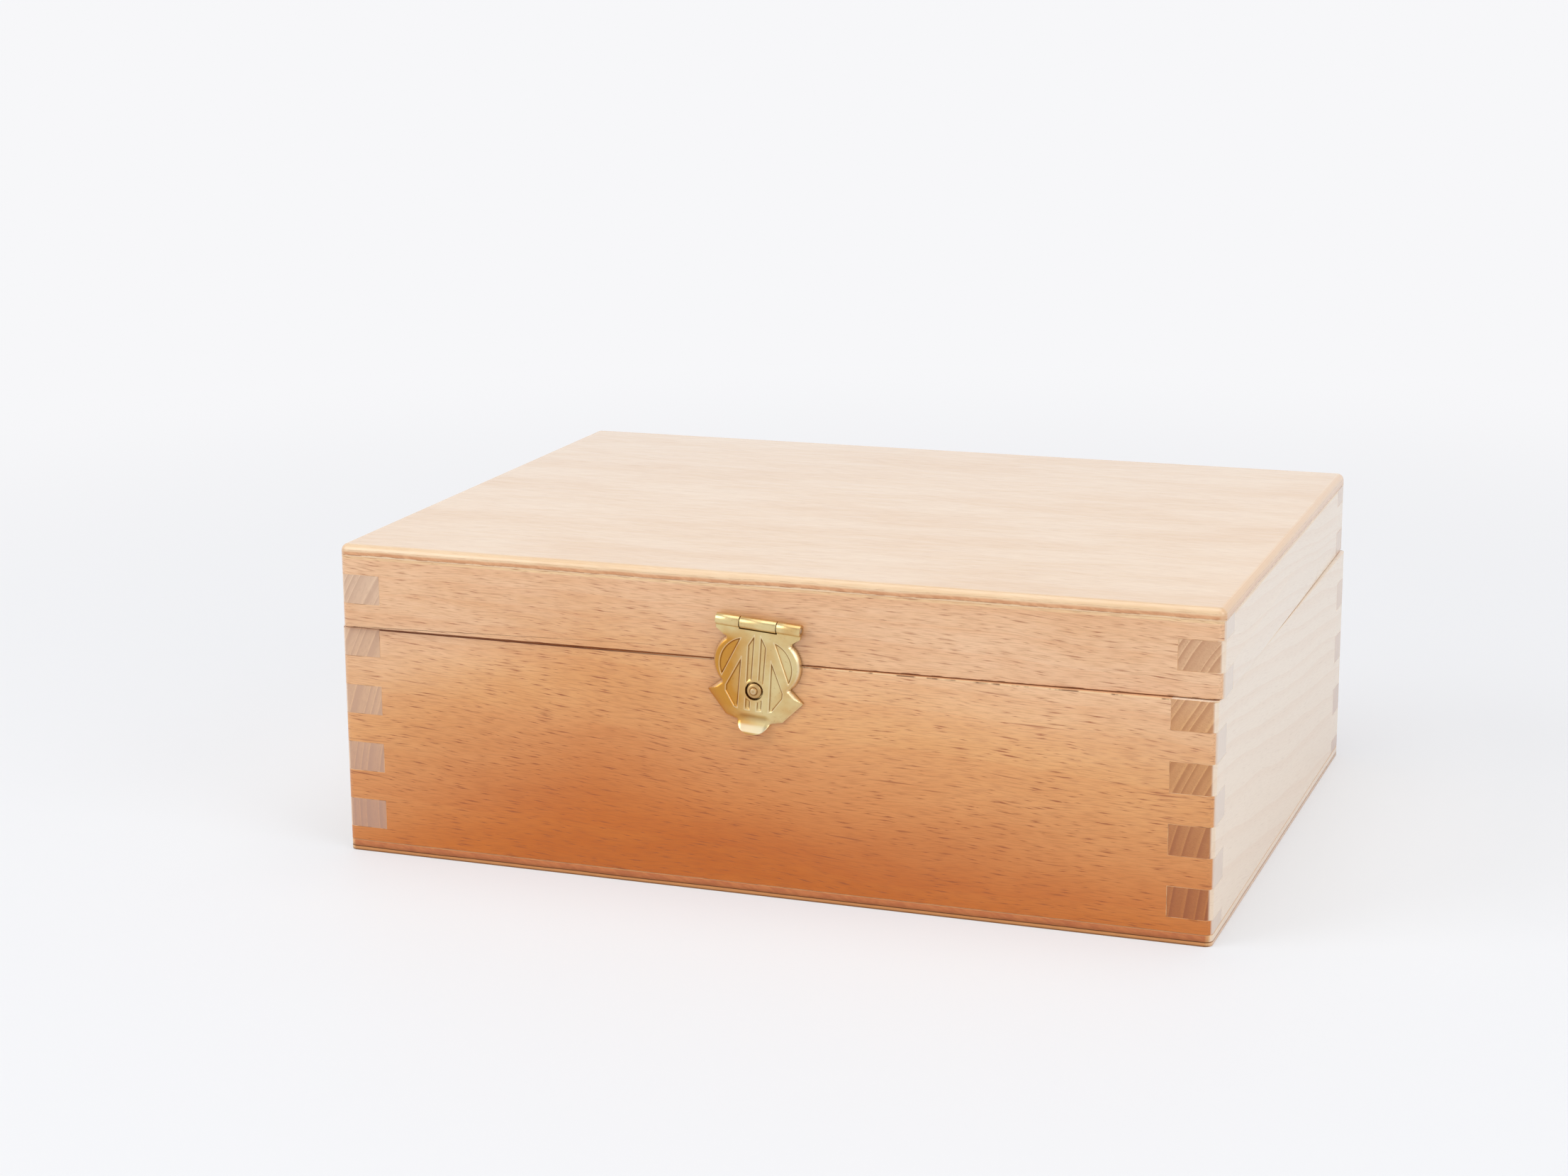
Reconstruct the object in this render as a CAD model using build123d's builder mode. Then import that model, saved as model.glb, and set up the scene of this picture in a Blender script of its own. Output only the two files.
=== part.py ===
"""Finger-jointed beech box for chess pieces, with a hinged lid and a brass hasp.

The four walls and the two plywood panels are glued up as one closed box, which is then sawn apart
into base and lid. Two small butt hinges are let into the rims at the back, and a swinging hasp on
the lid closes over a stud on the base.

Frame: origin under the middle of the base, X along the front, Y to the back, Z up. Millimetres.
"""
from build123d import *
from math import cos, radians, sin
import os

# ---- the box ------------------------------------------------------------------------------
box_width = 228.0  # along X
box_depth = 170.0  # along Y
base_height = 60.05  # table to the base's rim
lid_height = 21.65  # lid's rim to its top face
parting_gap = 0.30  # between the two rims, set by the hinge leaves
wall = 11.0  # thickness of the four sides
bottom_ply = 3.0
top_ply = 3.0
corner_radius = 2.0  # upright outer corners
top_edge_radius = 1.8  # rounding along the lid's top edge
finger = 7.65  # height of one finger of the corner joints
lowest_finger = 3.6  # the front panel's lowest finger is cut short by this much of a full one
saw_kerf = 1.45  # sawn away between base and lid
lid_skew = 0.7  # degrees: the lid is hung slightly askew on its hinges

# ---- the hinges ---------------------------------------------------------------------------
hinge_inset = 44.0  # from each end of the box to the middle of its hinge
hinge_length = 25.0
hinge_reach = 10.0  # from the hinge axis to the leaf's far edge
leaf_thickness = 1.0
leaf_gap = 0.10  # between the two leaves of the closed hinge
hinge_knuckle_radius = 1.9
hinge_pin_radius = 0.9
hinge_knuckle_count = 5
hinge_clearance = 0.1  # between the box's back face and the knuckles
hinge_nail_spacing = 14.0
hinge_nail_setback = 6.2  # from the hinge axis
hinge_nail_head_radius = 1.5

# ---- the hasp -----------------------------------------------------------------------------
stud_below_rim = 6.75  # from the base's rim down to the stud's centre
hasp_tilt = 4.4  # degrees: the hasp is nailed on with its top leaning to the right
hasp_sheet = 0.6  # thickness of the brass sheet
hasp_axis_height = 16.8  # of the hasp's hinge above the stud
hasp_knuckle_radius = 1.5
hasp_pin_radius = 0.75
hasp_bar_length = 21.8
hasp_middle_knuckle = 9.4  # length of the fixed leaf's knuckle
hasp_neck_half = 8.6
hasp_body_half = 11.35
shoulder_radius = 7.35
shoulder_height = 6.7  # of the shoulder arcs' centres above the stud
hasp_notch = (9.0, 1.3)  # from the stud: across, up
hasp_ear = (12.5, -1.7)
hasp_foot = (7.4, -7.4)
tab_half = 4.3
tab_root = -8.2
tab_side = (2.7, -10.25)
tab_end = -11.0
neck_depth = 1.6  # of the flat neck under the bar
neck_lip = 0.5  # height of the neck's end at the bar
neck_inset = 1.0  # from the tray's side to the lower end of the neck
hasp_clearance = 0.1  # between the wood and the rolled knuckles
skirt_gap = 0.4  # between the wood and the edge of the hasp plate
plate_rise = 2.1  # from the wood to the outside of the hasp plate
plate_draft = 35.0  # degrees that the plate's rim slopes by
stud_hole_radius = 2.3
stud_head_radius = 1.9
stud_neck_radius = 1.4
stud_head_height = 1.0
stud_head_rounding = 0.8
stud_rise = 2.7  # from the wood to the top of the stud
fixed_leaf_sheet = 0.6
fixed_leaf_half = 6.6
fixed_leaf_foot = 8.3  # lower edge of the fixed leaf, above the stud
fixed_leaf_shoulder = 13.6
fixed_nail_at = (4.2, 10.9)
keeper_sheet = 0.6
keeper_corner = 1.0
keeper_half = 5.8
keeper_top = 5.2  # above the stud
keeper_bottom = -5.4
keeper_nail_at = (3.9, -2.9)
nail_head_radius = 1.1
nail_head_rise = 0.5
nail_head_rounding = 0.45

# ---- fits ---------------------------------------------------------------------------------
nail_shank_radius = 0.55
nail_length = 7.0
pin_clearance = 0.05  # round a hinge pin
knuckle_end_gap = 0.15  # between neighbouring knuckles
knuckle_notch_clearance = 0.25  # round the other leaf's knuckles
mortise_clearance = 0.1
nail_fit = 0.02  # round a nail in the wood
hole_clearance = 0.15  # round a nail in a brass sheet

# ---- heights and planes that follow from them ---------------------------------------------
lid_rim = base_height + parting_gap
lid_top = lid_rim + lid_height
lid_wall_top = lid_top - top_ply
hinge_axis_y = box_depth / 2 + hinge_clearance + hinge_knuckle_radius
hinge_axis_z = base_height + parting_gap / 2
leaf_proud = (parting_gap - leaf_gap) / 2
stud_height = base_height - stud_below_rim

skew = radians(lid_skew)
tilt = radians(hasp_tilt)
base_plane = Plane.XY
lid_plane = Plane(origin=(0, 0, 0), x_dir=(cos(skew), sin(skew), 0), z_dir=(0, 0, 1))
# The hasp stands on the lid's front face, the keeper on the base's; both look out along -Y.
hasp_plane = Plane(
    origin=(0, -box_depth / 2 / cos(skew), stud_height),
    x_dir=(cos(skew) * cos(tilt), sin(skew) * cos(tilt), -sin(tilt)),
    z_dir=(sin(skew), -cos(skew), 0),
)
keeper_plane = Plane(
    origin=(0, -box_depth / 2, stud_height),
    x_dir=(cos(tilt), 0, -sin(tilt)),
    z_dir=(0, -1, 0),
)

os.makedirs("parts", exist_ok=True)


def finish(builder, name):
    """Label a finished piece and write it out."""
    builder.part.label = name
    export_step(builder.part, f"parts/{name}.step")


# ---- finger joints ------------------------------------------------------------------------
def side_fingers(low, high, sawn_away):
    """Heights between low and high at which the side panels' fingers reach the front and back."""
    zones = []
    start = bottom_ply + lowest_finger - sawn_away
    while start < high:
        bottom, top = max(start, low), min(start + finger, high)
        if top > bottom:
            zones.append((bottom, top))
        start += 2 * finger
    return zones


def front_fingers(low, high, sawn_away):
    """Heights between low and high that are left to the front and back panels' fingers."""
    zones, bottom = [], low
    for zone_bottom, zone_top in side_fingers(low, high, sawn_away):
        if zone_bottom > bottom:
            zones.append((bottom, zone_bottom))
        bottom = zone_top
    if high > bottom:
        zones.append((bottom, high))
    return zones


def wall_panel(plane, side, low, high, sockets, along_x):
    """One board of the carcass, with sockets at both ends for its neighbours' fingers.

    side is -1 or 1. A board along X is the front or back, one along Y is the left or right.
    """
    across = side * ((box_depth if along_x else box_width) - wall) / 2
    with BuildPart() as board:
        with BuildSketch(plane.offset(low)):
            RectangleRounded(box_width, box_depth, corner_radius)
            with Locations((0, across) if along_x else (across, 0)):
                if along_x:
                    Rectangle(box_width, wall, mode=Mode.INTERSECT)
                else:
                    Rectangle(wall, box_depth, mode=Mode.INTERSECT)
        extrude(amount=high - low)
        for bottom, top in sockets:
            with BuildSketch(plane.offset(bottom)):
                if along_x:
                    with GridLocations(box_width - wall, 0, 2, 1):
                        Rectangle(wall, box_depth)
                else:
                    with GridLocations(0, box_depth - wall, 1, 2):
                        Rectangle(box_width, wall)
            extrude(amount=top - bottom, mode=Mode.SUBTRACT)
    return board.part


# ---- nails --------------------------------------------------------------------------------
def nail_holes(plane, points, radius, top, depth):
    """Cut round holes down from a height above the plane, in the part that is being built."""
    with BuildSketch(plane.offset(top - depth)) as holes:
        with Locations(*points):
            Circle(radius)
    extrude(holes.sketch, amount=depth, mode=Mode.SUBTRACT)


def domed_nails(plane, points, seat):
    """Round-headed nails, as one group of solids, with their heads on a sheet of height seat."""
    with BuildPart() as nails:
        with BuildSketch(plane.offset(seat - nail_length)):
            with Locations(*points):
                Circle(nail_shank_radius)
        extrude(amount=nail_length)
        with BuildSketch(plane.offset(seat)):
            with Locations(*points):
                Circle(nail_head_radius)
        extrude(amount=nail_head_rise)
        tops = nails.edges().filter_by(GeomType.CIRCLE).filter_by(
            lambda edge: abs(plane.to_local_coords(edge.center()).Z - seat - nail_head_rise) < 1e-6
        )
        fillet(tops, nail_head_rounding)
    return nails


# ---- butt hinges --------------------------------------------------------------------------
def hinge_plane(x, upper):
    """Plane on a hinge's axis. Its Z points at the mating leaf, its Y to the back."""
    turned = -1 if upper else 1
    return Plane(
        origin=(x, hinge_axis_y, hinge_axis_z), x_dir=(turned, 0, 0), z_dir=(0, 0, turned)
    )


hinge_nail_points = [
    (x, -hinge_nail_setback) for x in (-hinge_nail_spacing / 2, hinge_nail_spacing / 2)
]
hinge_centres = {"left": hinge_inset - box_width / 2, "right": box_width / 2 - hinge_inset}


def hinge_leaf(plane, own_knuckles):
    """One leaf, lying just under the plane, with every other knuckle rolled round the axis."""
    knuckle_pitch = hinge_length / hinge_knuckle_count
    end_plane = Plane(origin=plane.origin, x_dir=plane.y_dir, z_dir=plane.x_dir)
    with BuildPart() as leaf:
        with BuildSketch(plane.offset(-leaf_gap / 2 - leaf_thickness)):
            with Locations((0, -hinge_reach / 2)):
                Rectangle(hinge_length, hinge_reach)
        extrude(amount=leaf_thickness)
        with BuildSketch(end_plane.offset(-hinge_length / 2)):
            Circle(hinge_knuckle_radius + knuckle_notch_clearance)
        extrude(amount=hinge_length, mode=Mode.SUBTRACT)
        for knuckle in own_knuckles:
            start = -hinge_length / 2 + knuckle * knuckle_pitch + knuckle_end_gap / 2
            with BuildSketch(end_plane.offset(start)):
                Circle(hinge_knuckle_radius)
                with Locations((-hinge_knuckle_radius, -(leaf_gap + leaf_thickness) / 2)):
                    Rectangle(2 * hinge_knuckle_radius, leaf_thickness)
            extrude(amount=knuckle_pitch - knuckle_end_gap)
        with BuildSketch(end_plane.offset(-hinge_length / 2)):
            Circle(hinge_pin_radius + pin_clearance)
        extrude(amount=hinge_length, mode=Mode.SUBTRACT)
        with Locations(*[plane.offset(-leaf_gap / 2) * Pos(x, y) for x, y in hinge_nail_points]):
            CounterSinkHole(
                nail_shank_radius + hole_clearance, hinge_nail_head_radius + hole_clearance
            )
    return leaf


def hinge_nails(upper):
    """Flat-headed nails of both hinges, as one group of solids."""
    with BuildPart() as nails:
        for x in hinge_centres.values():
            plane = hinge_plane(x, upper)
            head_top = -leaf_gap / 2
            head_depth = hinge_nail_head_radius - nail_shank_radius
            with BuildSketch(plane.offset(head_top - nail_length)):
                with Locations(*hinge_nail_points):
                    Circle(nail_shank_radius)
            extrude(amount=nail_length)
            with BuildSketch(plane.offset(head_top)):
                with Locations(*hinge_nail_points):
                    Circle(hinge_nail_head_radius)
            extrude(amount=-head_depth, taper=45)
    return nails


def cut_mortises(upper):
    """Let both hinges into the rim of the board that is being built, and drill it for their nails."""
    for x in hinge_centres.values():
        plane = hinge_plane(x, upper)
        rim = -parting_gap / 2
        depth = leaf_thickness - leaf_proud
        reach = hinge_reach + mortise_clearance
        with BuildSketch(plane.offset(rim - depth)) as leaf_bed:
            with Locations((0, -reach / 2)):
                Rectangle(hinge_length + 2 * mortise_clearance, reach)
        extrude(leaf_bed.sketch, amount=depth, mode=Mode.SUBTRACT)
        end_plane = Plane(origin=plane.origin, x_dir=plane.y_dir, z_dir=plane.x_dir)
        with BuildSketch(end_plane.offset(-hinge_length / 2 - mortise_clearance)) as knuckle_bed:
            Circle(hinge_knuckle_radius + hinge_clearance)
        extrude(
            knuckle_bed.sketch, amount=hinge_length + 2 * mortise_clearance, mode=Mode.SUBTRACT
        )
        nail_holes(plane, hinge_nail_points, nail_shank_radius + nail_fit, rim, nail_length)


# ---- base ---------------------------------------------------------------------------------
base_walls = (bottom_ply, base_height)
base_side_fingers = side_fingers(*base_walls, 0)
base_front_fingers = front_fingers(*base_walls, 0)
keeper_nail_points = [(side * keeper_nail_at[0], keeper_nail_at[1]) for side in (-1, 1)]

with BuildPart() as base_front_panel:
    add(wall_panel(base_plane, -1, *base_walls, base_side_fingers, along_x=True))
    nail_holes(keeper_plane, keeper_nail_points, nail_shank_radius + nail_fit, 0, nail_length)
finish(base_front_panel, "base_front_panel")

with BuildPart() as base_back_panel:
    add(wall_panel(base_plane, 1, *base_walls, base_side_fingers, along_x=True))
    cut_mortises(upper=False)
finish(base_back_panel, "base_back_panel")

for name, side in (("base_left_panel", -1), ("base_right_panel", 1)):
    with BuildPart() as base_side_panel:
        add(wall_panel(base_plane, side, *base_walls, base_front_fingers, along_x=False))
    finish(base_side_panel, name)

with BuildPart() as base_bottom_panel:
    with BuildSketch():
        RectangleRounded(box_width, box_depth, corner_radius)
    extrude(amount=bottom_ply)
finish(base_bottom_panel, "base_bottom_panel")

# ---- lid ----------------------------------------------------------------------------------
lid_walls = (lid_rim, lid_wall_top)
lid_sawn_away = saw_kerf - parting_gap
lid_side_fingers = side_fingers(*lid_walls, lid_sawn_away)
lid_front_fingers = front_fingers(*lid_walls, lid_sawn_away)
fixed_nail_points = [(side * fixed_nail_at[0], fixed_nail_at[1]) for side in (-1, 1)]

with BuildPart() as lid_front_panel:
    add(wall_panel(lid_plane, -1, *lid_walls, lid_side_fingers, along_x=True))
    nail_holes(hasp_plane, fixed_nail_points, nail_shank_radius + nail_fit, 0, nail_length)
finish(lid_front_panel, "lid_front_panel")

with BuildPart() as lid_back_panel:
    add(wall_panel(lid_plane, 1, *lid_walls, lid_side_fingers, along_x=True))
    cut_mortises(upper=True)
finish(lid_back_panel, "lid_back_panel")

for name, side in (("lid_left_panel", -1), ("lid_right_panel", 1)):
    with BuildPart() as lid_side_panel:
        add(wall_panel(lid_plane, side, *lid_walls, lid_front_fingers, along_x=False))
    finish(lid_side_panel, name)

with BuildPart() as lid_top_panel:
    with BuildSketch(lid_plane.offset(lid_wall_top)):
        RectangleRounded(box_width, box_depth, corner_radius)
    extrude(amount=top_ply)
    fillet(lid_top_panel.edges().group_by(Axis.Z)[-1], top_edge_radius)
finish(lid_top_panel, "lid_top_panel")

# ---- hinges at the back -------------------------------------------------------------------
base_knuckles = range(0, hinge_knuckle_count, 2)
lid_knuckles = range(1, hinge_knuckle_count, 2)
for side, x in hinge_centres.items():
    finish(hinge_leaf(hinge_plane(x, upper=False), base_knuckles), f"{side}_hinge_base_leaf")
    finish(hinge_leaf(hinge_plane(x, upper=True), lid_knuckles), f"{side}_hinge_lid_leaf")
    with BuildPart() as hinge_pin:
        with BuildSketch(Plane.YZ.offset(x - hinge_length / 2)):
            with Locations((hinge_axis_y, hinge_axis_z)):
                Circle(hinge_pin_radius)
        extrude(amount=hinge_length)
    finish(hinge_pin, f"{side}_hinge_pin")
finish(hinge_nails(upper=False), "hinge_base_nails")
finish(hinge_nails(upper=True), "hinge_lid_nails")

# ---- hasp ---------------------------------------------------------------------------------
hasp_axis_rise = hasp_knuckle_radius + hasp_clearance
bar_plane = Plane(
    origin=hasp_plane.from_local_coords((0, hasp_axis_height, hasp_axis_rise)),
    x_dir=hasp_plane.y_dir,
    z_dir=hasp_plane.x_dir,
)
bore_radius = hasp_pin_radius + pin_clearance
outer_knuckle = (hasp_bar_length - hasp_middle_knuckle) / 2
plate_top = hasp_axis_height - hasp_knuckle_radius - knuckle_end_gap


def rolled_knuckle(start, length):
    """A tube round the hasp's axis, added to the part that is being built."""
    with BuildSketch(bar_plane.offset(start)) as section:
        Circle(hasp_knuckle_radius)
    extrude(section.sketch, amount=length)


shoulder_x = hasp_body_half - shoulder_radius
shoulder_start = (
    hasp_neck_half,
    shoulder_height + (shoulder_radius**2 - (hasp_neck_half - shoulder_x) ** 2) ** 0.5,
)


def plate_outline(plane):
    """The hasp plate's edge below the bar: neck, round shoulders, ears and finger tab."""
    with BuildSketch(plane) as outline:
        with BuildLine():
            Polyline((0, plate_top), (hasp_neck_half, plate_top), shoulder_start)
            ThreePointArc(shoulder_start, (hasp_body_half, shoulder_height), hasp_notch)
            Polyline(hasp_notch, hasp_ear, hasp_foot, (tab_half, tab_root))
            ThreePointArc((tab_half, tab_root), tab_side, (0, tab_end))
            mirror(about=Plane.YZ)
        make_face()
    return outline.sketch


with BuildPart() as hasp_plate:
    # the stamping: a shallow tray with sloping sides, the same tray taken out one sheet lower
    drawn = plate_rise - skirt_gap
    extrude(plate_outline(hasp_plane.offset(skirt_gap)), amount=drawn, taper=plate_draft)
    extrude(
        plate_outline(hasp_plane.offset(skirt_gap - hasp_sheet)),
        amount=drawn,
        taper=plate_draft,
        mode=Mode.SUBTRACT,
    )
    # the side towards the bar is open, for the fixed leaf
    with BuildSketch(hasp_plane.offset(-hasp_sheet)):
        with Locations((0, plate_top)):
            Rectangle(2 * hasp_neck_half, 2 * neck_depth)
    extrude(amount=plate_rise, mode=Mode.SUBTRACT)
    # flat neck as wide as the bar, with a strap up into each outer knuckle
    with BuildSketch(hasp_plane.offset(plate_rise - hasp_sheet)):
        with BuildLine():
            Polyline(
                (0, plate_top - neck_depth),
                (hasp_neck_half - neck_inset, plate_top - neck_depth),
                (hasp_bar_length / 2, plate_top - neck_lip),
                (hasp_bar_length / 2, plate_top),
                (0, plate_top),
            )
            mirror(about=Plane.YZ)
        make_face()
    extrude(amount=hasp_sheet)
    for side in (-1, 1):
        with BuildSketch(hasp_plane.offset(plate_rise - hasp_sheet)):
            with Locations((side * (hasp_bar_length - outer_knuckle) / 2, plate_top)):
                Rectangle(outer_knuckle - knuckle_end_gap, 2 * (hasp_axis_height - plate_top))
        extrude(amount=hasp_sheet)
    rolled_knuckle(-hasp_bar_length / 2, outer_knuckle - knuckle_end_gap)
    rolled_knuckle(
        hasp_bar_length / 2 - outer_knuckle + knuckle_end_gap, outer_knuckle - knuckle_end_gap
    )
    with BuildSketch(bar_plane.offset(-hasp_bar_length / 2)):
        Circle(bore_radius)
    extrude(amount=hasp_bar_length, mode=Mode.SUBTRACT)
    with BuildSketch(hasp_plane):
        Circle(stud_hole_radius)
    extrude(amount=plate_rise, mode=Mode.SUBTRACT)
finish(hasp_plate, "hasp_plate")

with BuildPart() as hasp_fixed_leaf:
    with BuildSketch(hasp_plane):
        with BuildLine():
            Polyline(
                (0, fixed_leaf_foot),
                (fixed_leaf_half, fixed_leaf_foot),
                (fixed_leaf_half, fixed_leaf_shoulder),
                (hasp_middle_knuckle / 2, fixed_leaf_shoulder),
                (hasp_middle_knuckle / 2, hasp_axis_height),
                (0, hasp_axis_height),
            )
            mirror(about=Plane.YZ)
        make_face()
    extrude(amount=fixed_leaf_sheet)
    rolled_knuckle(-hasp_middle_knuckle / 2, hasp_middle_knuckle)
    with BuildSketch(bar_plane.offset(-hasp_middle_knuckle / 2)):
        Circle(bore_radius)
    extrude(amount=hasp_middle_knuckle, mode=Mode.SUBTRACT)
    nail_holes(
        hasp_plane, fixed_nail_points, nail_shank_radius + hole_clearance,
        fixed_leaf_sheet, fixed_leaf_sheet,
    )
finish(hasp_fixed_leaf, "hasp_fixed_leaf")
finish(domed_nails(hasp_plane, fixed_nail_points, fixed_leaf_sheet), "hasp_fixed_leaf_nails")

with BuildPart() as hasp_pin:
    with BuildSketch(bar_plane.offset(-hasp_bar_length / 2)):
        Circle(hasp_pin_radius)
    extrude(amount=hasp_bar_length)
finish(hasp_pin, "hasp_pin")

# ---- keeper on the base -------------------------------------------------------------------
with BuildPart() as keeper_plate:
    with BuildSketch(keeper_plane):
        with Locations((0, (keeper_top + keeper_bottom) / 2)):
            RectangleRounded(2 * keeper_half, keeper_top - keeper_bottom, keeper_corner)
    extrude(amount=keeper_sheet)
    nail_holes(
        keeper_plane, keeper_nail_points, nail_shank_radius + hole_clearance,
        keeper_sheet, keeper_sheet,
    )
    nail_holes(keeper_plane, [(0, 0)], stud_neck_radius, keeper_sheet, keeper_sheet)
finish(keeper_plate, "keeper_plate")

with BuildPart() as keeper_stud:
    with BuildSketch(keeper_plane):
        Circle(stud_neck_radius)
    extrude(amount=stud_rise - stud_head_height)
    with BuildSketch(keeper_plane.offset(stud_rise - stud_head_height)):
        Circle(stud_head_radius)
    extrude(amount=stud_head_height)
    fillet(keeper_stud.faces().sort_by(Axis.Y)[0].edges(), stud_head_rounding)
finish(keeper_stud, "keeper_stud")
finish(domed_nails(keeper_plane, keeper_nail_points, keeper_sheet), "keeper_nails")
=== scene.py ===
"""Finger-jointed beech chess box with a hinged lid and a stamped brass hasp, ready to look at.

Every piece is dressed in the order in which the box is put together. Sizes are in millimetres
until a mesh is made of them.
"""
from math import asin, atan2, cos, hypot, pi, radians, sin

import bmesh
import bpy
import numpy as np
from mathutils import Matrix, Vector, noise
from mathutils.geometry import delaunay_2d_cdt


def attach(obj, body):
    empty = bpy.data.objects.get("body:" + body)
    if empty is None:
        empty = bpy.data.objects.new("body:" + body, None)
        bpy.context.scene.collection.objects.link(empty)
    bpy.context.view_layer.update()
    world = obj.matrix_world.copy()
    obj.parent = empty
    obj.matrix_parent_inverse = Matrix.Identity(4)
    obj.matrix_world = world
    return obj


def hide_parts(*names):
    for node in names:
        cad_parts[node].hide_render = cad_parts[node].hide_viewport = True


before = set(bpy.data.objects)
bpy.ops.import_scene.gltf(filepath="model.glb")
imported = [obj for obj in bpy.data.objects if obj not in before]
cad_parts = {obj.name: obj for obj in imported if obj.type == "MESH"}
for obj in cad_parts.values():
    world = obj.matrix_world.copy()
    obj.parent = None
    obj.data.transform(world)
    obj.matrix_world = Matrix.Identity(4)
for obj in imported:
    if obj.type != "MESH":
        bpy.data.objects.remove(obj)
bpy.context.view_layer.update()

# ---- the camera ---------------------------------------------------------------------------
# It stands a little to the right of the box and above it, three quarters of a metre away, on a
# tripod whose head leans very slightly to the right.
camera_place = (0.2502, -0.7460, 0.2467)
camera_turn, camera_drop, camera_roll = 20.18, 13.374, -0.378  # degrees
camera_lens, sensor_width = 68.76, 36.0

camera = bpy.data.objects.new("camera", bpy.data.cameras.new("camera"))
camera.data.lens = camera_lens
camera.data.sensor_width = sensor_width
camera.data.clip_start = 0.01
camera.matrix_world = (
    Matrix.Translation(camera_place)
    @ Matrix.Rotation(radians(camera_turn), 4, "Z")
    @ Matrix.Rotation(radians(90 - camera_drop), 4, "X")
    @ Matrix.Rotation(radians(camera_roll), 4, "Z")
)
bpy.context.scene.collection.objects.link(camera)
bpy.context.scene.camera = camera
bpy.context.scene.view_settings.view_transform = "Standard"


# ---- the table and the light --------------------------------------------------------------
# A white table that runs out of sight, under large soft lamps: one from the left, one overhead
# and a weak one from the right. The room is the same white, with its ceiling in half shade.
class Socket:
    """An output in a node tree. Arithmetic on it adds Math nodes to the tree."""

    def __init__(self, nodes, link):
        self.nodes = nodes
        self.link = link

    def math(self, operation, *values):
        return self.nodes.add("Math", {"operation": operation}, dict(enumerate(values)))

    def __add__(self, other):
        return self.math("ADD", self, other)

    def __radd__(self, other):
        return self.math("ADD", other, self)

    def __sub__(self, other):
        return self.math("SUBTRACT", self, other)

    def __rsub__(self, other):
        return self.math("SUBTRACT", other, self)

    def __mul__(self, other):
        return self.math("MULTIPLY", self, other)

    def __rmul__(self, other):
        return self.math("MULTIPLY", other, self)

    def __truediv__(self, other):
        return self.math("DIVIDE", self, other)

    def __pow__(self, other):
        return self.math("POWER", self, other)

    def __abs__(self):
        return self.math("ABSOLUTE", self)

    def part(self):
        """What is left of the value after the whole numbers."""
        return self.math("FRACT", self)

    def most(self, other):
        return self.math("MAXIMUM", self, other)

    def ramp(self, low, high):
        """A smooth rise from 0 at low to 1 at high."""
        limits = {"Value": self, "From Min": low, "From Max": high}
        return self.nodes.add("MapRange", {"interpolation_type": "SMOOTHSTEP"}, limits)


class Nodes:
    """The node tree of a material or of the world, filled by add()."""

    def __init__(self, owner):
        owner.use_nodes = True
        self.owner = owner
        self.tree = owner.node_tree
        self.tree.nodes.clear()

    def add(self, kind, settings, values, output=None):
        """Add a node: its settings first, then its sockets by name or number. Gives an output."""
        node = self.tree.nodes.new("ShaderNode" + kind)
        for name, value in settings.items():
            setattr(node, name, value)
        for name, value in values.items():
            if isinstance(name, int):
                socket = node.inputs[name]
            else:
                socket = next(s for s in node.inputs if s.name == name and s.enabled)
            if isinstance(value, Socket):
                self.tree.links.new(value.link, socket)
            else:
                socket.default_value = value
        shown = [s for s in node.outputs if s.enabled and (output is None or s.name == output)]
        return Socket(self, shown[0]) if shown else None

    def mix(self, factor, first, second, blend="MIX"):
        """Two colours mixed."""
        return self.add(
            "Mix",
            {"data_type": "RGBA", "blend_type": blend},
            {"Factor": factor, "A": first, "B": second},
        )

    def noise(self, place, detail=2.0, scale=1.0):
        """Cloudy values round a half, one cloud to each unit of place."""
        return self.add(
            "TexNoise", {}, {"Vector": place, "Scale": scale, "Detail": detail}, "Fac"
        )

    def vector(self, x, y, z):
        return self.add("CombineXYZ", {}, {"X": x, "Y": y, "Z": z})

    def outputs(self, kind, settings, values, *names):
        """Several outputs of one new node."""
        node = self.add(kind, settings, values).link.node
        return [Socket(self, node.outputs[name]) for name in names]

    def xyz(self, vector):
        return self.outputs("SeparateXYZ", {}, {"Vector": vector}, *"XYZ")

    def surfaced(self, values):
        """The material, finished with a surface whose sockets get these values."""
        surface = self.add("BsdfPrincipled", {}, values)
        self.add("OutputMaterial", {}, {"Surface": surface})
        return self.owner

    def seen_direct(self):
        """1 for what the camera sees, straight or in metal and glass, and 0 for lighting."""
        names = ("Is Camera Ray", "Is Glossy Ray", "Is Transmission Ray")
        camera_ray, glossy, transmission = self.outputs("LightPath", {}, {}, *names)
        return camera_ray.most(glossy).most(transmission)


def tone(red, green, blue):
    """A colour as it looks on a screen, 0 to 255, in linear light."""
    shares = [value / 255 for value in (red, green, blue)]
    return (*((s / 12.92 if s <= 0.04045 else ((s + 0.055) / 1.055) ** 2.4) for s in shares), 1)


table_half = 12.0  # metres
table_white = tone(238, 240, 243)
paper_shade = tone(228, 228, 231)
room_white = tone(247, 247, 249)
ceiling_shade = tone(168, 168, 172)
room_level = 0.50  # light that the room gives besides the lamps
glow_near, glow_reach = 0.45, (0.20, 0.75)  # the table's own white, full from 0.75 m away

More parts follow.
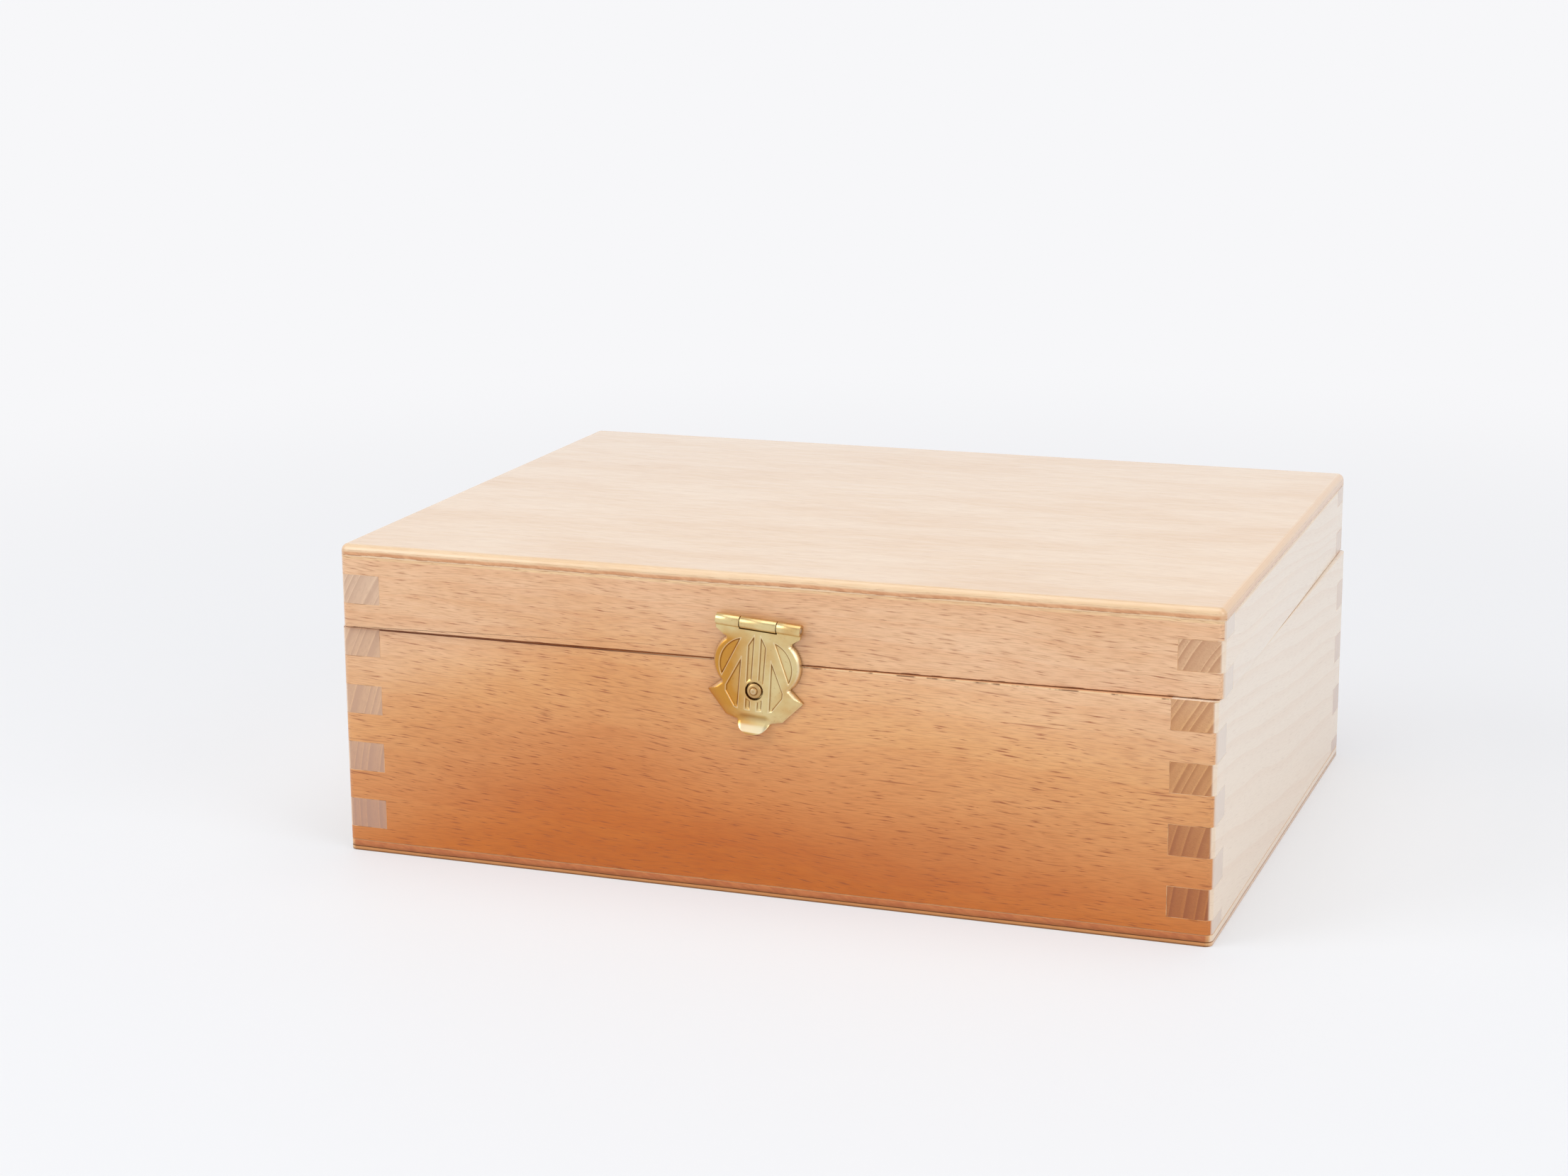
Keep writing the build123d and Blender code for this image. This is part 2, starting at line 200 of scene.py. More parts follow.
bpy.ops.mesh.primitive_grid_add(x_subdivisions=24, y_subdivisions=24, size=2 * table_half)
table = bpy.context.object
table.name = "table"
nodes = Nodes(bpy.data.materials.new("white_table"))
place = nodes.add("TexCoord", {}, {}, "Object")
away = nodes.add("VectorMath", {"operation": "LENGTH"}, {0: place}, "Value")
paper = nodes.noise(place, detail=4.0, scale=60.0)
matt = nodes.add("BsdfPrincipled", {}, {
    "Base Color": nodes.mix(paper * 0.06, table_white, paper_shade),
    "Roughness": 0.55,
    "Specular IOR Level": 0.2,
})
glow = nodes.add("Emission", {}, {"Color": room_white, "Strength": 1.0})
share = glow_near + away.ramp(*glow_reach) * (1 - glow_near)
surface = nodes.add("MixShader", {}, {0: nodes.seen_direct() * share, 1: matt, 2: glow})
nodes.add("OutputMaterial", {}, {"Surface": surface})
table.data.materials.append(nodes.owner)

world = bpy.data.worlds.new("white_room")
bpy.context.scene.world = world
nodes = Nodes(world)
direction = nodes.add("TexCoord", {}, {}, "Generated")
_, _, up = nodes.xyz(direction)
seen = nodes.seen_direct()
room = nodes.add("Background", {}, {
    "Color": nodes.mix(up.ramp(0.45, 0.80) * seen, room_white, ceiling_shade),
    "Strength": room_level + seen * (1 - room_level),
})
nodes.add("OutputWorld", {}, {"Surface": room})

lamp_aim = Vector((0.02, 0.0, 0.04))
for name, spot, width, power in (
    ("window_lamp", (-1.05, -0.95, 0.95), 1.0, 8.5),
    ("ceiling_lamp", (0.10, -0.15, 1.45), 1.3, 9.0),
    ("right_lamp", (1.25, -0.55, 0.75), 0.9, 5.0),
):
    lamp = bpy.data.objects.new(name, bpy.data.lights.new(name, "AREA"))
    lamp.data.size = width
    lamp.data.energy = power
    lamp.location = spot
    lamp.rotation_euler = (lamp_aim - Vector(spot)).to_track_quat("-Z", "Y").to_euler()
    bpy.context.scene.collection.objects.link(lamp)

# ---- the four walls of the base -----------------------------------------------------------
# Solid beech, 11 mm thick, finger-jointed and glued at the corners, sanded flush and lacquered
# on the outside. The rims are left as the saw parted the glued-up box, with the edge broken.
mm = 0.001
box_half = (114.0, 85.0)
corner_radius = 2.0
base_rim, lid_rim = 60.05, 60.35
edge_break = {"front": 0.09, "back": 0.16, "left": 0.12, "right": 0.06}  # of the sawn rims
glue_line = 0.05  # half the width of a joint's line
saw_chip = 0.45  # the most that the saw took off a rim's edge besides
rim_step = 0.8  # between the points of a chipped edge
skin_depth = 0.1
corner_angle = radians(50)
lid_skew = radians(0.7)  # the lid is hung slightly askew
# heights from which and to which a mark comes in, and those over which it goes out again: a
# painted highlight along the top edge of the lid's walls, soiling with a painted shadow at the
# parting line, and a pale band on the base's rim that is partly bare chipped wood and partly a
# painted highlight
crest_highlight_marks = (78.2, 78.5), (78.9, 79.0)
grime_and_shadow_marks = (59.68, 59.80), (60.46, 60.60)
rim_marks = (59.90, 60.02), (60.05, 60.15)
# the room that a ray has along and across the grain, a shift, and how few rays are dark
ray_sizes = (13.0, 0.95, 0.0, 0.1), (8.0, 0.66, 40.0, 0.2), (36.0, 0.9, 80.0, 0.85)

beech_pale = tone(244, 200, 158)
beech_warm = tone(233, 181, 133)
# a painted highlight for edges that catch the light
edge_highlight_pale = tone(244, 208, 158)
# painted warm bounce light and painted shade towards the table, for faces and ends
painted_bounce_warmth = tone(249, 230, 192)
low_shade = tone(221, 168, 100)
low_end_shade = tone(212, 170, 118)
# partly the tree's pale outer wood and partly painted light, for the brightly lit right side
sapwood_and_lit_pale = tone(244, 228, 207)
ray_brown = tone(160, 86, 42)
# soiling and painted shadow in the gap under the lid
gap_grime_and_shadow = tone(92, 30, 4)
end_pale = tone(232, 190, 148)
end_middle = tone(214, 168, 128)
end_dark = tone(190, 138, 98)
# end grain made pale with painted light
end_lit_pale = tone(232, 216, 200)
bare_beech = tone(226, 192, 156)
glue_pale = tone(240, 210, 168)
glue_beech = tone(220, 170, 122)
glue_dark = tone(150, 98, 56)


def square_on(point, skew):
    """A point in millimetres, in the square frame of its own half of the box."""
    return Matrix.Rotation(-skew, 3, "Z") @ Vector(point) / mm


def under_skin(point):
    """How far a point lies under the upright outside of the box, in millimetres."""
    reach = [abs(point[i]) - (box_half[i] - corner_radius) for i in (0, 1)]
    return corner_radius - hypot(max(reach[0], 0), max(reach[1], 0)) - min(max(reach), 0)


def outside_corners(shape, skew):
    """The sharp edges that show on the upright outside of the box, with their ends' places."""
    found = {}
    for edge in shape.edges:
        ends = [square_on(vertex.co, skew) for vertex in edge.verts]
        on_skin = all(under_skin(place) < skin_depth for place in ends)
        if on_skin and edge.calc_face_angle(0) > corner_angle:
            found[edge] = ends
    return found


def rim_edges(shape, skew, height, off=False):
    """The outside corners that lie at a height, or with off all the others."""
    return [
        edge for edge, ends in outside_corners(shape, skew).items()
        if off != all(abs(place.z - height) < skin_depth for place in ends)
    ]


def clean_copy(node):
    """The CAD solid's surface as a bmesh, with its flat faces whole again."""
    shape = bmesh.new()
    shape.from_mesh(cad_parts[node].data)
    bmesh.ops.remove_doubles(shape, verts=shape.verts, dist=0.002 * mm)
    bmesh.ops.dissolve_limit(
        shape, angle_limit=radians(0.4), verts=shape.verts, edges=shape.edges
    )
    for face in shape.faces:
        face.material_index = 0
    return shape


def break_edges(shape, edges, width, segments=1, material=0):
    bmesh.ops.bevel(
        shape, geom=edges, offset=width * mm, offset_type="OFFSET", affect="EDGES",
        segments=segments, profile=0.5, material=material,
    )


def made(name, mesh, materials, body, node, smooth=35.0):
    """A finished piece: its mesh dressed, hung on its body and standing for its CAD node."""
    for material in materials:
        mesh.materials.append(material)
    mesh.shade_smooth()
    mesh.set_sharp_from_angle(angle=radians(smooth))
    piece = bpy.data.objects.new(name, mesh)
    bpy.context.scene.collection.objects.link(piece)
    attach(piece, body)
    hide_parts(node)
    return piece


def mesh_of(shape):
    """A mesh of a bmesh's points and faces, with each face's material."""
    shape.verts.index_update()
    mesh = bpy.data.meshes.new("mesh")
    mesh.from_pydata(
        [v.co[:] for v in shape.verts], [], [[v.index for v in f.verts] for f in shape.faces]
    )
    mesh.polygons.foreach_set("material_index", [f.material_index for f in shape.faces])
    shape.free()
    return mesh


def board(node, rim, skew, rim_break):
    """A wall of the box: its joint lines filled with glue, its sawn rim broken by hand."""
    shape = clean_copy(node)
    break_edges(shape, rim_edges(shape, skew, rim, off=True), glue_line, material=1)
    for edge in rim_edges(shape, skew, rim):
        cuts = int(edge.calc_length() / mm / rim_step)
        if cuts:
            bmesh.ops.subdivide_edges(shape, edges=[edge], cuts=cuts)
    break_edges(shape, rim_edges(shape, skew, rim), rim_break, segments=2)
    for vertex in shape.verts:
        place = square_on(vertex.co, skew)
        beside_rim = rim_break / 2 < abs(place.z - rim) < 3 * rim_break
        if beside_rim and under_skin(place) < skin_depth / 5:
            chip = noise.fractal(Vector((place.x * 0.4, place.y * 0.4, rim)), 0.6, 2.0, 3)
            away = 1 if place.z > rim else -1
            vertex.co.z += away * saw_chip * mm * abs(chip)
    return mesh_of(shape)


def in_mm(nodes, place):
    """A vector in metres turned into millimetres."""
    return nodes.add("VectorMath", {"operation": "SCALE"}, {"Vector": place, "Scale": 1 / mm})


def wood_axes(name, skew):
    """A wood's node tree, the place of each point in millimetres and its facing."""
    nodes = Nodes(bpy.data.materials.new(name))
    place, facing = nodes.outputs("TexCoord", {}, {}, "Object", "Normal")
    about = {"rotation_type": "Z_AXIS"}
    place = nodes.add("VectorRotate", about, {"Vector": place, "Angle": -skew})
    facing = nodes.add("VectorRotate", about, {"Vector": facing, "Angle": -skew})
    return nodes, nodes.xyz(in_mm(nodes, place)), nodes.xyz(facing)


def beech_figure(nodes, along, height, depth, seed):
    """Beech seen along the grain: slow clouds, mottle, fine fibres and short dark rays."""
    clouds = nodes.noise(nodes.vector(along * 0.014, height * 0.055, depth * 0.05 + seed))
    mottle = nodes.noise(
        nodes.vector(along * 0.10, height * 0.42, depth * 0.3 + seed), detail=3.0
    )
    fibre = nodes.noise(nodes.vector(along * 0.22, height * 3.2, depth * 3.2 + seed), detail=4.0)
    rays = 0.0
    for length, rise, shift, rare in ray_sizes:
        cell = nodes.vector(along / length + seed, (height + along * 0.04) / rise + shift, 0.0)
        distance, chance = nodes.outputs(
            "TexVoronoi",
            {"feature": "F1", "distance": "MANHATTAN", "voronoi_dimensions": "2D"},
            {"Vector": cell, "Scale": 1.0},
            "Distance", "Color",
        )
        reach, dark, _ = nodes.xyz(chance)
        spindle = 1 - (distance / (reach * 0.18 + 0.14)).ramp(0.30, 1.0)
        rays = spindle * dark.ramp(rare, 1.0) + rays
    return clouds, mottle, fibre, rays


def lacquered(nodes, colour, relief, lacquer, fibre, dulled=0.0):
    """The surface of a wood that is lacquered where lacquer is 1 and bare where it is 0."""
    colour = nodes.mix(lacquer, nodes.mix(0.35, colour, bare_beech), colour)
    bump = nodes.add("Bump", {}, {"Strength": 0.35, "Distance": 0.00006, "Height": relief})
    return nodes.surfaced({
        "Base Color": colour,
        "Roughness": 0.62 - lacquer * 0.22 + fibre * 0.10,
        "Specular IOR Level": 0.15,
        "Coat Weight": lacquer * (1 - dulled),
        "Coat Roughness": 0.22,
        "Coat IOR": 1.55,
        "Normal": bump,
    })


def beech(name, grain, heart, seed, skew=0.0, slope=0.0, foot=0.0, sapwood_and_light=0.0, lit_end_paleness=0.0):
    """A board of beech.

    grain is the axis that its fibres follow, heart the middle of its year rings (across the
    board, height), slope how fast the fibres run down along the board, foot how much darker it
    is painted towards the table, as painted shade with a warm painted bounce light, and the last
    two how much paler its face is, partly the tree's pale outer wood and partly painted light,
    and how much paler its ends are, as painted light.
    """
    nodes, (x, y, z), facing = wood_axes(name, skew)
    along, depth = (x, y) if grain == "X" else (y, x)
    end = abs(facing["XY".index(grain)]).ramp(0.72, 0.93)
    upright = 1 - abs(facing[2]).ramp(0.4, 0.8)
    wander = nodes.noise(nodes.vector(along * 0.011 + seed, z * 0.02, depth * 0.02)) - 0.5
    height = z + along * slope + wander * 9.0
    clouds, mottle, fibre, rays = beech_figure(nodes, along, height, depth, seed)
    rays = rays * upright * (1 - end)

    # year rings round the heart, each pale in spring and darkening to a line
    off_depth, off_height = depth - heart[0], height - heart[1]
    radius = (off_depth * off_depth + off_height * off_height) ** 0.5
    uneven = nodes.noise(nodes.vector(radius * 0.22, seed, along * 0.004)) * 2.2
    ring = (radius / 2.6 + uneven).part()
    late = ring.ramp(0.35, 0.95) - ring.ramp(0.95, 1.0)
    early = 1 - ring.ramp(0.04, 0.20)

    warmth = clouds.ramp(0.34, 0.70) * 0.70 + mottle.ramp(0.32, 0.70) * 0.34
    colour = nodes.mix(warmth, beech_pale, beech_warm)
    # a paler face, partly the tree's pale outer wood and partly painted light
    colour = nodes.mix(sapwood_and_light, colour, sapwood_and_lit_pale)
    level = z + wander * 14.0 + clouds * 8.0
    lacquer = (abs(x) - box_half[0]).most(abs(y) - box_half[1]).ramp(
        -corner_radius - 1.0, -corner_radius
    )
    # painted shade towards the table, deepest low down in the middle and left of the front, with
    # a warm painted bounce light over it
    deepened = level + (x * 0.13).most((x + 60.0) * -0.35)
    low = (1 - deepened.ramp(10.0, 66.0)) * lacquer * foot
    warm = (1 - deepened.ramp(50.0, 78.0)) * lacquer * foot
    colour = nodes.mix(warm, colour, painted_bounce_warmth, "MULTIPLY")
    colour = nodes.mix(low, colour, low_shade, "MULTIPLY")
    # a painted highlight along the top edge of the lid's walls
    crest_highlight = z.ramp(*crest_highlight_marks[0]) * (1 - z.ramp(*crest_highlight_marks[1]))
    colour = nodes.mix(crest_highlight * 0.80, colour, edge_highlight_pale)
    colour = nodes.mix(late * 0.12 * (1 - end), colour, beech_warm, "MULTIPLY")
    flecked = 1 - 0.95 * sapwood_and_light
    colour = nodes.mix(fibre.ramp(0.40, 0.72) * 0.30 * flecked, colour, ray_brown)
    colour = nodes.mix(rays * (0.58 + warm * 0.30) * flecked, colour, ray_brown)
    # soiling gathers in chips along the rims, and at front left and back right, where the lid
    # stands out over the base, a dark line of painted shadow with soiling runs all the way under
    # its edge
    chips = nodes.noise(nodes.vector(along * 0.30, seed, depth * 0.1), detail=3.0)
    grime_and_shade_reach = (x * y).ramp(-1700.0, 4200.0).most(chips.ramp(0.48, 0.62) * 0.8)
    grime_and_shade_reach = grime_and_shade_reach * abs(facing[1]).ramp(0.5, 0.8) * lacquer
    grime_and_gap_shade = (z + fibre * 0.10).ramp(*grime_and_shadow_marks[0]) * (1 - z.ramp(*grime_and_shadow_marks[1])) * grime_and_shade_reach
    # the base's rim edge is paler, partly bare chipped wood and partly a painted highlight where
    # it catches the light
    worn_and_lit_rim = (z + fibre * 0.45).ramp(*rim_marks[0]) * (1 - z.ramp(*rim_marks[1]))
    colour = nodes.mix(worn_and_lit_rim * 0.80 * (1 - facing[2].ramp(0.80, 0.98)), colour, edge_highlight_pale)
    colour = nodes.mix(grime_and_gap_shade * 0.92, colour, gap_grime_and_shadow)

    # the ends: dark late wood beside pale early wood, with pores and rays across the rings
    turn = off_height.math("ARCTAN2", off_height, off_depth) * hypot(*heart)
    pores = nodes.noise(nodes.vector(radius * 3.0, turn * 3.0, along * 0.5), detail=3.0)
    across = nodes.noise(nodes.vector(radius * 0.30, turn * 2.2, along * 0.1), detail=2.0)
    end_colour = nodes.mix(late * 0.85, end_middle, end_dark)
    end_colour = nodes.mix(early * 0.75, end_colour, end_pale)
    end_colour = nodes.mix(pores.ramp(0.45, 0.70) * 0.45, end_colour, end_dark)
    end_colour = nodes.mix(across.ramp(0.56, 0.70) * 0.15, end_colour, end_pale)
    # the ends get the same painted bounce light and painted shade towards the table
    end_colour = nodes.mix(1 - level.ramp(50.0, 78.0), end_colour, painted_bounce_warmth, "MULTIPLY")
    end_colour = nodes.mix(1 - level.ramp(8.0, 64.0), end_colour, low_end_shade, "MULTIPLY")
    # pale painted light on the ends
    end_colour = nodes.mix(lit_end_paleness, end_colour, end_lit_pale)
    colour = nodes.mix(end, colour, end_colour)

    relief = fibre * 0.5 + rays * -0.5 + mottle * 0.3 + late * end * -0.5
    # the lacquer is thinned under the painted shade, standing in for darker reflections there,
    # and in the gap's soiling with its painted shadow
    return lacquered(nodes, colour, relief, lacquer, fibre, (low * 0.6).most(grime_and_gap_shade))


def glue_material(name):
    """A line of dried glue in a joint, with dark specks where it didn't quite fill, made paler
    with painted light on the brightly lit right side.
    """
    nodes = Nodes(bpy.data.materials.new(name))
    place = nodes.add("TexCoord", {}, {}, "Object")
    gaps = nodes.noise(place, detail=3.0, scale=260.0).ramp(0.52, 0.64)
    filled = nodes.noise(place, detail=2.0, scale=120.0).ramp(0.45, 0.60) * 0.7
    colour = nodes.mix(gaps * 0.8, nodes.mix(filled, glue_beech, glue_pale), glue_dark)
    # painted light makes the glue paler on the brightly lit right side
    on_lit_side = nodes.xyz(place)[0].ramp(0.1130, 0.1138)
    colour = nodes.mix(on_lit_side * 0.8, colour, sapwood_and_lit_pale)
    return nodes.surfaced({"Base Color": colour, "Roughness": 0.5 + gaps * 0.2})


# One plank goes round the box, so base and lid share each wall's figure.
dried_glue = glue_material("dried_glue")
# Each wall is painted darker towards the table, the front most of all: painted shade with a warm
# painted bounce light. The paler faces, the right wall's most of all, are partly the tree's pale
# outer wood and partly painted light, and the paler end grain is painted light.
wall_figure = {
    "front": dict(grain="X", heart=(10.0, 26.0), seed=3.0, slope=0.03, foot=1.0, lit_end_paleness=0.85),
    "back": dict(grain="X", heart=(35.0, 50.0), seed=11.0, slope=-0.02, foot=0.3, lit_end_paleness=0.55),
    "left": dict(grain="Y", heart=(-20.0, 12.0), seed=19.0, foot=0.3, sapwood_and_light=0.4, lit_end_paleness=0.3),
    "right": dict(
        grain="Y", heart=(220.0, -18.0), seed=27.0, slope=0.12, foot=0.10, sapwood_and_light=0.88
    ),
}


def walls(body, rim, skew):
    """The four walls of the base or of the lid."""
    for side, figure in wall_figure.items():
        node = f"{body}_{side}_panel"
        dress = [beech(f"beech_{body}_{side}", skew=skew, **figure), dried_glue]
        mesh = board(node, rim, skew, edge_break[side])
        made(f"{body}_{side}_board", mesh, dress, body, node)


walls("base", base_rim, 0.0)

# ---- the bottom panel ---------------------------------------------------------------------
# Three-ply beech, 3 mm thick, glued flat under the walls and trimmed flush with them. Its joints
# are soiled, the foot of its edge has a painted shadow where it stands on the table, and it gets
# the same painted shade towards the table as the walls.
core_blur = 0.12  # over which the middle ply's lower edge comes in
# the heights between which the cross-grained middle ply lies, and its upper edge's blur
ply_core = {"bottom": (1.15, 2.85, core_blur), "top": (79.34, 80.62, 0.75)}
bottom_joint, top_joint = 3.0, 79.0  # heights at which the panels meet the walls
bottom_edge_break = 0.25
veneer_pale = tone(240, 213, 182)
veneer_warm = tone(231, 195, 156)
core_pale = tone(226, 168, 120)
core_dark = tone(206, 144, 96)
ply_glue = tone(160, 98, 50)
# soiling in the joints, and a painted shadow along the foot
ply_dirt_and_shadow = tone(92, 58, 30)


def plywood(name, core, seed, skew=0.0, shade=0.0):
    """Three-ply panel: two veneers along the box and a core across it, between two heights.

    shade is 1 for the panel that stands on the table, which gets painted shade and a warm painted
    bounce light, a pale painted light on its lit ends, soiled joints and a painted shadow along
    its foot. The last value given is that soiling with the painted shadow.
    """
    nodes, (x, y, z), facing = wood_axes(name, skew)
    wander = nodes.noise(nodes.vector(x * 0.012 + seed, y * 0.03, z * 0.02)) - 0.5
    clouds, mottle, fibre, rays = beech_figure(nodes, x, y + wander * 10.0, z, seed)
    end = abs(facing[0]).ramp(0.10, 0.50)
    warmth = clouds.ramp(0.34, 0.70) * 0.65 + mottle.ramp(0.32, 0.70) * 0.35
    veneer = nodes.mix(warmth, veneer_pale, veneer_warm)
    veneer = nodes.mix(fibre.ramp(0.42, 0.75) * 0.14, veneer, ray_brown)
    veneer = nodes.mix(rays * 0.16, veneer, ray_brown)
    # a painted highlight along the panel's rounded outer edge
    near_edge = (abs(x) - box_half[0]).most(abs(y) - box_half[1]).ramp(-2.5, 0.0)
    veneer = nodes.mix(near_edge * 0.40, veneer, edge_highlight_pale)
    veneer = nodes.mix(end * 0.75, veneer, end_pale)

    # the core's end shows on the front and back, its side on the left and right
    waves = nodes.noise(nodes.vector(x * 0.05, y * 0.05, seed), detail=3.0) - 0.5
    level = z + waves * (1.1 - shade * 0.6)
    streak = nodes.noise(nodes.vector(x * 0.5 + z * 0.8, y * 0.10, z * 0.9 + seed), detail=3.0)
    middle = nodes.mix(streak.ramp(0.30, 0.70), core_pale, core_dark)
    middle = nodes.mix(end * 0.55, middle, end_pale)
    # a pale painted light on the core's side where the bottom panel's ends are lit
    lit_end = abs(facing[0]).ramp(0.50, 0.85) * shade
    middle = nodes.mix(lit_end * 0.85, middle, sapwood_and_lit_pale)
    inside_core = level.ramp(core[0], core[0] + core_blur)
    inside_core = inside_core * (1 - level.ramp(core[1] - core[2], core[1]))
    edge_on = 1 - abs(facing[2]).ramp(0.55, 0.85)
    colour = nodes.mix(inside_core * edge_on, veneer, middle)
    seam = 1 - abs(level - core[0] - 0.02).ramp(0.04, 0.16)
    seam = seam.most((1 - abs(level - core[1]).ramp(0.02, 0.10)) * 0.5 * (1 - lit_end))
    torn = nodes.noise(nodes.vector(x * 0.35, y * 0.35, seed), detail=2.0).ramp(0.35, 0.60)
    colour = nodes.mix(seam * (torn * 0.7 + 0.1) * edge_on, colour, ply_glue)
    # painted warm bounce light and painted shade towards the table, less on the lit ends
    colour = nodes.mix(shade - lit_end * 0.8, colour, painted_bounce_warmth, "MULTIPLY")
    colour = nodes.mix(shade * (0.7 - end * 0.6), colour, low_shade, "MULTIPLY")
    # soiling above the lower glue line and along the joint with the walls, and a painted shadow
    # along the foot of the edge, browner on the lit ends
    above_line = level.ramp(core[0] - 0.10, core[0]) - level.ramp(core[0], core[0] + 1.2)
    joint_line = (1 - abs(z - bottom_joint).ramp(0.04, 0.16)) * torn
    dirt_and_shadow = (above_line * 0.35).most(joint_line) * (1 - lit_end)
    dirt_and_shadow = dirt_and_shadow.most(1 - abs(level - core[0]).ramp(0.05, 0.20))
    dirt_and_shadow = dirt_and_shadow.most((1 - z.ramp(0.25, 0.6)) * (0.8 - lit_end * 0.5))
    dirt_and_shadow_colour = nodes.mix(lit_end * 0.85, ply_dirt_and_shadow, ply_glue)
    colour = nodes.mix(dirt_and_shadow * shade * edge_on * 0.85, colour, dirt_and_shadow_colour)
    relief = fibre * 0.4 + mottle * 0.3 + seam * edge_on * -1.5
    return nodes, colour, relief, fibre, z, dirt_and_shadow * shade


shape = clean_copy("base_bottom_panel")
break_edges(shape, list(outside_corners(shape, 0.0)), bottom_edge_break, segments=2)
nodes, colour, relief, fibre, z, dirt_and_shadow = plywood(
    "plywood_bottom", ply_core["bottom"], 41.0, shade=1.0
)
dress = [lacquered(nodes, colour, relief, 1 - z.ramp(2.7, 2.9), fibre, dirt_and_shadow)]
made("base_bottom_ply", mesh_of(shape), dress, "base", "base_bottom_panel")

# ---- the walls of the lid -----------------------------------------------------------------
# The upper part of the same four boards, sawn off after gluing up. The lid is hung on its
# hinges a touch askew, so its figure is turned with it.
walls("lid", lid_rim, lid_skew)

# ---- the lid's top panel ------------------------------------------------------------------
# Three-ply beech, 3 mm thick, glued on top of the walls, with its upper edge rounded over and
# the outside lacquered.
shape = clean_copy("lid_top_panel")
break_edges(shape, rim_edges(shape, lid_skew, top_joint), glue_line)
nodes, colour, relief, fibre, z, _ = plywood("plywood_top", ply_core["top"], 53.0, lid_skew)
dress = [lacquered(nodes, colour, relief, z.ramp(79.05, 79.15), fibre)]
made("lid_top_ply", mesh_of(shape), dress, "lid", "lid_top_panel", smooth=40.0)

# ---- the two butt hinges ------------------------------------------------------------------
# Small brass butt hinges let into the rims at the back. Each leaf is stamped from 1 mm sheet,
# with every other knuckle rolled round a steel pin, and held by two flat-headed brass nails.
hinge_axis = (87.0, 60.2)  # to the back, up
hinge_centres = {"left": -70.0, "right": 70.0}
hinge_length, hinge_reach, hinge_sheet = 25.0, 10.0, 1.0
hinge_gap = 0.05  # from the axis plane to a leaf
hinge_barrel, hinge_bore, hinge_pin = 1.9, 0.95, 0.9  # radii
hinge_knuckles = 5
knuckle_gap = 0.15
roll_points = 33  # round a rolled knuckle
barrel_room = 0.25  # round the other leaf's knuckles
hinge_nails = ((-7.0, -6.2), (7.0, -6.2))
hinge_nail_head, nail_shank, nail_length = 1.5, 0.55, 7.0
hole_room = 0.15
edge_rounding = 0.12  # along stamped edges
edge_rows, crease_rows = (0.05, 0.12), (0.0, 0.12, 0.24, 0.36)  # of points beside each line
closest = 0.06  # that two points of a sheet may be
hinge_spacing, leaf_spacing, plate_spacing = 0.5, 0.4, 0.25  # of the points on a flat sheet
seam_width = 0.2


def frame_at(origin, x_dir, z_dir):
    """A frame from its origin, x axis and z axis, in millimetres."""
    x_axis, z_axis = Vector(x_dir).normalized(), Vector(z_dir).normalized()
    y_axis = z_axis.cross(x_axis)
    turn = Matrix((x_axis, y_axis, z_axis)).transposed().to_4x4()
    return Matrix.Translation(origin) @ turn


def circle(radius, centre=(0.0, 0.0), steps=32):
    """Points once round a circle, the last one the first again."""
    angles = np.linspace(0, 2 * pi, steps + 1)
    return np.stack([centre[0] + radius * np.cos(angles), centre[1] + radius * np.sin(angles)], 1)


def resampled(line, step):
    """A line of points with more of them, none further apart than step."""
    points = [line[0]]
    for start, end in zip(line[:-1], line[1:]):
        count = max(1, int(np.ceil(np.linalg.norm(end - start) / step)))
        points += [start + (end - start) * (i + 1) / count for i in range(count)]
    return np.array(points)


def distance(points, line):
    """How far each point is from a line of points."""
    starts, steps = line[:-1], np.diff(line, axis=0)
    lengths = np.maximum((steps**2).sum(1), 1e-12)
    share = ((points[:, None] - starts) * steps).sum(2) / lengths
    nearest = starts + np.clip(share, 0, 1)[..., None] * steps
    return np.linalg.norm(points[:, None] - nearest, axis=2).min(1)


def within(points, loop):
    """Which points lie inside a closed line."""
    (x, y), (x0, y0), (x1, y1) = points.T[..., None], loop[:-1].T, loop[1:].T
    crossing = (y0 > y) != (y1 > y)
    rise = np.where(y1 == y0, 1.0, y1 - y0)
    return (crossing & (x < x0 + (y - y0) * (x1 - x0) / rise)).sum(1) % 2 == 1


def edge_fall(edge, radius=edge_rounding):
    """How much lower a stamped sheet is at a distance from its rounded edge."""
    inward = np.clip(radius - edge, 0, radius)
    return radius - np.sqrt(radius**2 - inward**2)


def beside(loop, offsets):
    """Points along both sides of a closed line, at each of some distances from it."""
    places = loop[:-1]
    along = np.roll(places, -1, axis=0) - np.roll(places, 1, axis=0)
    across = np.stack([-along[:, 1], along[:, 0]], 1) / np.hypot(*along.T)[:, None]
    return [places + offset * across for away in offsets for offset in (-away, away)]


